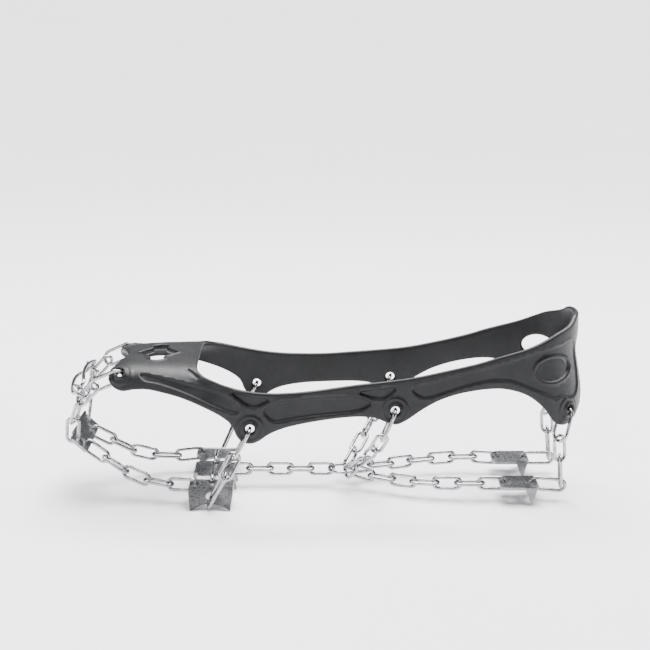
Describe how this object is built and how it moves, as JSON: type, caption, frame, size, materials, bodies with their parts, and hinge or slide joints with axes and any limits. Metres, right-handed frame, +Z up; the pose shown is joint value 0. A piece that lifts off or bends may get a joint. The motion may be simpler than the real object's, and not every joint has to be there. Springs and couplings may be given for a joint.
{
  "type": "shoe ice cleat",
  "caption": "Slip-on ice cleat: a stretchy harness over the boot's toe, sides and heel holds welded chains and spiked plates under the sole, with a wire bail round the toe.",
  "frame": {"origin": "on the ground, at the middle of the bounding box, under the middle of the foot", "axes": "+X from toe to heel, +Y towards the right side of the foot, +Z up; the spike tips stand on Z=0"},
  "size_m": [0.3242, 0.1222, 0.1162],
  "materials": {
    "harness_rubber": "satin moulded elastomer, smooth, edges softly rounded",
    "link_steel": "bright tumbled stainless wire, welded and polished",
    "plate_steel": "stamped stainless sheet, satin, lightly scuffed"
  },
  "bodies": {
    "harness": {"harness": "harness_rubber"},
    "toe_chain_left_1": {"toe_chain_left_1": "link_steel"},
    "toe_chain_left_2": {"toe_chain_left_2": "link_steel"},
    "toe_chain_left_3": {"toe_chain_left_3": "link_steel"},
    "toe_chain_left_4": {"toe_chain_left_4": "link_steel"},
    "toe_chain_right_1": {"toe_chain_right_1": "link_steel"},
    "toe_chain_right_2": {"toe_chain_right_2": "link_steel"},
    "toe_chain_right_3": {"toe_chain_right_3": "link_steel"},
    "toe_chain_right_4": {"toe_chain_right_4": "link_steel"},
    "ball_chain_left_1": {"ball_chain_left_1": "link_steel"},
    "ball_chain_left_2": {"ball_chain_left_2": "link_steel"},
    "ball_chain_left_3": {"ball_chain_left_3": "link_steel"},
    "ball_chain_right_1": {"ball_chain_right_1": "link_steel"},
    "ball_chain_right_2": {"ball_chain_right_2": "link_steel"},
    "ball_chain_right_3": {"ball_chain_right_3": "link_steel"},
    "arch_chain_left_1": {"arch_chain_left_1": "link_steel"},
    "arch_chain_left_2": {"arch_chain_left_2": "link_steel"},
    "arch_chain_left_3": {"arch_chain_left_3": "link_steel"},
    "arch_chain_left_4": {"arch_chain_left_4": "link_steel"},
    "arch_chain_left_5": {"arch_chain_left_5": "link_steel"},
    "arch_chain_right_1": {"arch_chain_right_1": "link_steel"},
    "arch_chain_right_2": {"arch_chain_right_2": "link_steel"},
    "arch_chain_right_3": {"arch_chain_right_3": "link_steel"},
    "arch_chain_right_4": {"arch_chain_right_4": "link_steel"},
    "arch_chain_right_5": {"arch_chain_right_5": "link_steel"},
    "heel_chain_left_1": {"heel_chain_left_1": "link_steel"},
    "heel_chain_left_2": {"heel_chain_left_2": "link_steel"},
    "heel_chain_left_3": {"heel_chain_left_3": "link_steel"},
    "heel_chain_left_4": {"heel_chain_left_4": "link_steel"},
    "heel_chain_right_1": {"heel_chain_right_1": "link_steel"},
    "heel_chain_right_2": {"heel_chain_right_2": "link_steel"},
    "heel_chain_right_3": {"heel_chain_right_3": "link_steel"},
    "heel_chain_right_4": {"heel_chain_right_4": "link_steel"},
    "ball_plate_left": {"ball_plate_left": "plate_steel"},
    "ball_plate_right": {"ball_plate_right": "plate_steel"},
    "centre_plate": {"centre_plate": "plate_steel"},
    "heel_plate_left": {"heel_plate_left": "plate_steel"},
    "heel_plate_right": {"heel_plate_right": "plate_steel"},
    "front_plate": {"front_plate": "plate_steel"},
    "front_chain_left_1": {"front_chain_left_1": "link_steel"},
    "front_chain_left_2": {"front_chain_left_2": "link_steel"},
    "front_chain_left_3": {"front_chain_left_3": "link_steel"},
    "front_chain_left_4": {"front_chain_left_4": "link_steel"},
    "front_chain_right_1": {"front_chain_right_1": "link_steel"},
    "front_chain_right_2": {"front_chain_right_2": "link_steel"},
    "front_chain_right_3": {"front_chain_right_3": "link_steel"},
    "front_chain_right_4": {"front_chain_right_4": "link_steel"},
    "cross_link_left_1": {"cross_link_left_1": "link_steel"},
    "cross_link_right_1": {"cross_link_right_1": "link_steel"},
    "centre_chain_1": {"centre_chain_1": "link_steel"},
    "centre_chain_2": {"centre_chain_2": "link_steel"},
    "centre_chain_3": {"centre_chain_3": "link_steel"},
    "sole_chain_left_1": {"sole_chain_left_1": "link_steel"},
    "sole_chain_left_2": {"sole_chain_left_2": "link_steel"},
    "sole_chain_right_1": {"sole_chain_right_1": "link_steel"},
    "sole_chain_right_2": {"sole_chain_right_2": "link_steel"},
    "arch_ring": {"arch_ring": "link_steel"},
    "toe_bail": {"toe_bail": "link_steel"},
    "bail_ring_left": {"bail_ring_left": "link_steel"},
    "bail_ring_right": {"bail_ring_right": "link_steel"}
  },
  "joints": [
    {"name": "toe_chain_left_1_turn", "type": "hinge", "parent": "harness", "child": "toe_chain_left_1", "pos_m": [-0.13395, -0.0336, 0.07882], "axis": [-0.9138, 0.0003, -0.4062], "range_deg": [-4, 4]},
    {"name": "toe_chain_left_2_turn", "type": "hinge", "parent": "harness", "child": "toe_chain_left_2", "pos_m": [-0.1462, -0.03275, 0.0703], "axis": [-0.6816, 0.1159, -0.7225], "range_deg": [-8, 8]},
    {"name": "toe_chain_left_3_turn", "type": "hinge", "parent": "harness", "child": "toe_chain_left_3", "pos_m": [-0.15375, -0.03025, 0.0583], "axis": [-0.3466, 0.2243, -0.9108], "range_deg": [-8, 8]},
    {"name": "toe_chain_left_4_turn", "type": "hinge", "parent": "harness", "child": "toe_chain_left_4", "pos_m": [-0.15701, -0.02637, 0.04483], "axis": [-0.099, 0.312, -0.9449], "range_deg": [-8, 8]},
    {"name": "toe_chain_right_1_turn", "type": "hinge", "parent": "harness", "child": "toe_chain_right_1", "pos_m": [-0.13395, 0.0336, 0.07882], "axis": [0.9138, 0.0003, 0.4062], "range_deg": [-4, 4]},
    {"name": "toe_chain_right_2_turn", "type": "hinge", "parent": "harness", "child": "toe_chain_right_2", "pos_m": [-0.1462, 0.03275, 0.0703], "axis": [0.6816, 0.1159, 0.7225], "range_deg": [-8, 8]},
    {"name": "toe_chain_right_3_turn", "type": "hinge", "parent": "harness", "child": "toe_chain_right_3", "pos_m": [-0.15375, 0.03025, 0.0583], "axis": [0.3466, 0.2243, 0.9108], "range_deg": [-8, 8]},
    {"name": "toe_chain_right_4_turn", "type": "hinge", "parent": "harness", "child": "toe_chain_right_4", "pos_m": [-0.15701, 0.02637, 0.04483], "axis": [0.099, 0.312, 0.9449], "range_deg": [-8, 8]},
    {"name": "ball_chain_left_1_turn", "type": "hinge", "parent": "harness", "child": "ball_chain_left_1", "pos_m": [-0.0504, -0.05441, 0.04484], "axis": [-0.4669, -0.0327, -0.8837], "range_deg": [-4, 4]},
    {"name": "ball_chain_left_2_turn", "type": "hinge", "parent": "harness", "child": "ball_chain_left_2", "pos_m": [-0.0579, -0.05595, 0.03065], "axis": [-0.4598, -0.1742, -0.8708], "range_deg": [-8, 8]},
    {"name": "ball_chain_left_3_turn", "type": "hinge", "parent": "harness", "child": "ball_chain_left_3", "pos_m": [-0.06627, -0.05146, 0.01395], "axis": [-0.3912, 0.443, -0.8067], "range_deg": [-8, 8]},
    {"name": "ball_chain_right_1_turn", "type": "hinge", "parent": "harness", "child": "ball_chain_right_1", "pos_m": [-0.0504, 0.05441, 0.04484], "axis": [0.4669, -0.0327, 0.8837], "range_deg": [-4, 4]},
    {"name": "ball_chain_right_2_turn", "type": "hinge", "parent": "harness", "child": "ball_chain_right_2", "pos_m": [-0.0579, 0.05595, 0.03065], "axis": [0.4598, -0.1742, 0.8708], "range_deg": [-8, 8]},
    {"name": "ball_chain_right_3_turn", "type": "hinge", "parent": "harness", "child": "ball_chain_right_3", "pos_m": [-0.06627, 0.05146, 0.01395], "axis": [0.3912, 0.443, 0.8067], "range_deg": [-8, 8]},
    {"name": "arch_chain_left_1_turn", "type": "hinge", "parent": "harness", "child": "arch_chain_left_1", "pos_m": [0.03895, -0.04156, 0.05271], "axis": [-0.3935, -0.0279, -0.9189], "range_deg": [-4, 4]},
    {"name": "arch_chain_left_2_turn", "type": "hinge", "parent": "harness", "child": "arch_chain_left_2", "pos_m": [0.0333, -0.03815, 0.03975], "axis": [-0.3424, 0.5433, -0.7666], "range_deg": [-8, 8]},
    {"name": "arch_chain_left_3_turn", "type": "hinge", "parent": "harness", "child": "arch_chain_left_3", "pos_m": [0.02809, -0.02994, 0.03063], "axis": [-0.433, 0.6796, -0.5921], "range_deg": [-8, 8]},
    {"name": "arch_chain_left_4_turn", "type": "hinge", "parent": "harness", "child": "arch_chain_left_4", "pos_m": [0.02228, -0.02082, 0.02268], "axis": [-0.433, 0.6796, -0.5921], "range_deg": [-8, 8]},
    {"name": "arch_chain_left_5_turn", "type": "hinge", "parent": "harness", "child": "arch_chain_left_5", "pos_m": [0.01647, -0.0117, 0.01473], "axis": [-0.433, 0.6796, -0.5921], "range_deg": [-8, 8]},
    {"name": "arch_chain_right_1_turn", "type": "hinge", "parent": "harness", "child": "arch_chain_right_1", "pos_m": [0.03895, 0.04156, 0.05271], "axis": [0.3935, -0.0279, 0.9189], "range_deg": [-4, 4]},
    {"name": "arch_chain_right_2_turn", "type": "hinge", "parent": "harness", "child": "arch_chain_right_2", "pos_m": [0.0333, 0.03815, 0.03975], "axis": [0.3424, 0.5433, 0.7666], "range_deg": [-8, 8]},
    {"name": "arch_chain_right_3_turn", "type": "hinge", "parent": "harness", "child": "arch_chain_right_3", "pos_m": [0.02809, 0.02994, 0.03063], "axis": [0.433, 0.6796, 0.5921], "range_deg": [-8, 8]},
    {"name": "arch_chain_right_4_turn", "type": "hinge", "parent": "harness", "child": "arch_chain_right_4", "pos_m": [0.02228, 0.02082, 0.02268], "axis": [0.433, 0.6796, 0.5921], "range_deg": [-8, 8]},
    {"name": "arch_chain_right_5_turn", "type": "hinge", "parent": "harness", "child": "arch_chain_right_5", "pos_m": [0.01647, 0.0117, 0.01473], "axis": [0.433, 0.6796, 0.5921], "range_deg": [-8, 8]},
    {"name": "heel_chain_left_1_turn", "type": "hinge", "parent": "harness", "child": "heel_chain_left_1", "pos_m": [0.14769, -0.02843, 0.04927], "axis": [-0.2516, -0.1915, -0.9487], "range_deg": [-4, 4]},
    {"name": "heel_chain_left_2_turn", "type": "hinge", "parent": "harness", "child": "heel_chain_left_2", "pos_m": [0.14585, -0.03055, 0.0345], "axis": [0.0536, -0.069, -0.9962], "range_deg": [-8, 8]},
    {"name": "heel_chain_left_3_turn", "type": "hinge", "parent": "harness", "child": "heel_chain_left_3", "pos_m": [0.14675, -0.0298, 0.01945], "axis": [0.0636, 0.1387, -0.9883], "range_deg": [-8, 8]},
    {"name": "heel_chain_left_4_turn", "type": "hinge", "parent": "harness", "child": "heel_chain_left_4", "pos_m": [0.13976, -0.0274, 0.01001], "axis": [-0.9905, 0.1282, 0.0495], "range_deg": [-8, 8]},
    {"name": "heel_chain_right_1_turn", "type": "hinge", "parent": "harness", "child": "heel_chain_right_1", "pos_m": [0.14769, 0.02843, 0.04927], "axis": [0.2516, -0.1915, 0.9487], "range_deg": [-4, 4]},
    {"name": "heel_chain_right_2_turn", "type": "hinge", "parent": "harness", "child": "heel_chain_right_2", "pos_m": [0.14585, 0.03055, 0.0345], "axis": [-0.0536, -0.069, 0.9962], "range_deg": [-8, 8]},
    {"name": "heel_chain_right_3_turn", "type": "hinge", "parent": "harness", "child": "heel_chain_right_3", "pos_m": [0.14675, 0.0298, 0.01945], "axis": [-0.0636, 0.1387, 0.9883], "range_deg": [-8, 8]},
    {"name": "heel_chain_right_4_turn", "type": "hinge", "parent": "harness", "child": "heel_chain_right_4", "pos_m": [0.13976, 0.0274, 0.01001], "axis": [0.9905, 0.1282, -0.0495], "range_deg": [-8, 8]},
    {"name": "ball_plate_left_rock", "type": "hinge", "parent": "harness", "child": "ball_plate_left", "pos_m": [-0.07075, -0.0331, 0.0116], "axis": [0, 1, 0], "range_deg": [-2, 2]},
    {"name": "ball_plate_right_rock", "type": "hinge", "parent": "harness", "child": "ball_plate_right", "pos_m": [-0.07075, 0.0331, 0.0116], "axis": [0, 1, 0], "range_deg": [-2, 2]},
    {"name": "centre_plate_rock", "type": "hinge", "parent": "harness", "child": "centre_plate", "pos_m": [-0.07075, 0, 0.0116], "axis": [0, 1, 0], "range_deg": [-3, 3]},
    {"name": "heel_plate_left_rock", "type": "hinge", "parent": "harness", "child": "heel_plate_left", "pos_m": [0.1211, -0.0264, 0.0104], "axis": [1, 0, 0], "range_deg": [-5, 5]},
    {"name": "heel_plate_right_rock", "type": "hinge", "parent": "harness", "child": "heel_plate_right", "pos_m": [0.1211, 0.0264, 0.0104], "axis": [-1, 0, 0], "range_deg": [-5, 5]},
    {"name": "front_plate_rock", "type": "hinge", "parent": "harness", "child": "front_plate", "pos_m": [-0.1534, 0, 0.0356], "axis": [0, 1, 0], "range_deg": [-2, 2]},
    {"name": "front_chain_left_1_turn", "type": "hinge", "parent": "harness", "child": "front_chain_left_1", "pos_m": [-0.14419, -0.01739, 0.02859], "axis": [0.828, -0.2278, -0.5123], "range_deg": [-8, 8]},
    {"name": "front_chain_left_2_turn", "type": "hinge", "parent": "harness", "child": "front_chain_left_2", "pos_m": [-0.13155, -0.02088, 0.02094], "axis": [0.8366, -0.2324, -0.496], "range_deg": [-8, 8]},
    {"name": "front_chain_left_3_turn", "type": "hinge", "parent": "harness", "child": "front_chain_left_3", "pos_m": [-0.11832, -0.0247, 0.01478], "axis": [0.9094, -0.2705, -0.316], "range_deg": [-8, 8]},
    {"name": "front_chain_left_4_turn", "type": "hinge", "parent": "harness", "child": "front_chain_left_4", "pos_m": [-0.09669, -0.03008, 0.01199], "axis": [0.9751, -0.2203, -0.0236], "range_deg": [-4, 4]},
    {"name": "front_chain_right_1_turn", "type": "hinge", "parent": "harness", "child": "front_chain_right_1", "pos_m": [-0.14419, 0.01739, 0.02859], "axis": [-0.828, -0.2278, 0.5123], "range_deg": [-8, 8]},
    {"name": "front_chain_right_2_turn", "type": "hinge", "parent": "harness", "child": "front_chain_right_2", "pos_m": [-0.13155, 0.02088, 0.02094], "axis": [-0.8366, -0.2324, 0.496], "range_deg": [-8, 8]},
    {"name": "front_chain_right_3_turn", "type": "hinge", "parent": "harness", "child": "front_chain_right_3", "pos_m": [-0.11832, 0.0247, 0.01478], "axis": [-0.9094, -0.2705, 0.316], "range_deg": [-8, 8]},
    {"name": "front_chain_right_4_turn", "type": "hinge", "parent": "harness", "child": "front_chain_right_4", "pos_m": [-0.09669, 0.03008, 0.01199], "axis": [-0.9751, -0.2203, 0.0236], "range_deg": [-4, 4]},
    {"name": "cross_link_left_1_turn", "type": "hinge", "parent": "harness", "child": "cross_link_left_1", "pos_m": [-0.07075, -0.0193, 0.0116], "axis": [0, -1, 0], "range_deg": [-8, 8]},
    {"name": "cross_link_right_1_turn", "type": "hinge", "parent": "harness", "child": "cross_link_right_1", "pos_m": [-0.07075, 0.0193, 0.0116], "axis": [0, -1, 0], "range_deg": [-8, 8]},
    {"name": "centre_chain_1_turn", "type": "hinge", "parent": "harness", "child": "centre_chain_1", "pos_m": [-0.04829, 0, 0.01158], "axis": [1, 0, -0.0016], "range_deg": [-4, 4]},
    {"name": "centre_chain_2_turn", "type": "hinge", "parent": "harness", "child": "centre_chain_2", "pos_m": [-0.02217, 0, 0.01154], "axis": [1, 0, -0.0016], "range_deg": [-4, 4]},
    {"name": "centre_chain_3_turn", "type": "hinge", "parent": "harness", "child": "centre_chain_3", "pos_m": [-0.00258, 0, 0.01151], "axis": [1, 0, -0.0016], "range_deg": [-8, 8]},
    {"name": "sole_chain_left_1_turn", "type": "hinge", "parent": "harness", "child": "sole_chain_left_1", "pos_m": [0.03684, -0.01217, 0.01073], "axis": [0.8909, -0.4525, -0.039], "range_deg": [-4, 4]},
    {"name": "sole_chain_left_2_turn", "type": "hinge", "parent": "harness", "child": "sole_chain_left_2", "pos_m": [0.0837, -0.02408, 0.01016], "axis": [0.9965, -0.0828, 0.0086], "range_deg": [-4, 4]},
    {"name": "sole_chain_right_1_turn", "type": "hinge", "parent": "harness", "child": "sole_chain_right_1", "pos_m": [0.03684, 0.01217, 0.01073], "axis": [-0.8909, -0.4525, 0.039], "range_deg": [-4, 4]},
    {"name": "sole_chain_right_2_turn", "type": "hinge", "parent": "harness", "child": "sole_chain_right_2", "pos_m": [0.0837, 0.02408, 0.01016], "axis": [-0.9965, -0.0828, -0.0086], "range_deg": [-4, 4]},
    {"name": "arch_ring_spin", "type": "hinge", "parent": "harness", "child": "arch_ring", "pos_m": [0.0112, 0, 0.0115], "axis": [0, 0, 1], "range_deg": [-45, 45]},
    {"name": "toe_bail_swing", "type": "hinge", "parent": "harness", "child": "toe_bail", "pos_m": [-0.1523, 0, 0.072], "axis": [0, 1, 0], "range_deg": [-3, 20]},
    {"name": "bail_ring_left_spin", "type": "hinge", "parent": "harness", "child": "bail_ring_left", "pos_m": [-0.15115, -0.02957, 0.07073], "axis": [-0.6816, 0.1159, -0.7225], "range_deg": [-45, 45]},
    {"name": "bail_ring_right_spin", "type": "hinge", "parent": "harness", "child": "bail_ring_right", "pos_m": [-0.15115, 0.02957, 0.07073], "axis": [-0.6816, -0.1159, -0.7225], "range_deg": [-45, 45]}
  ]
}
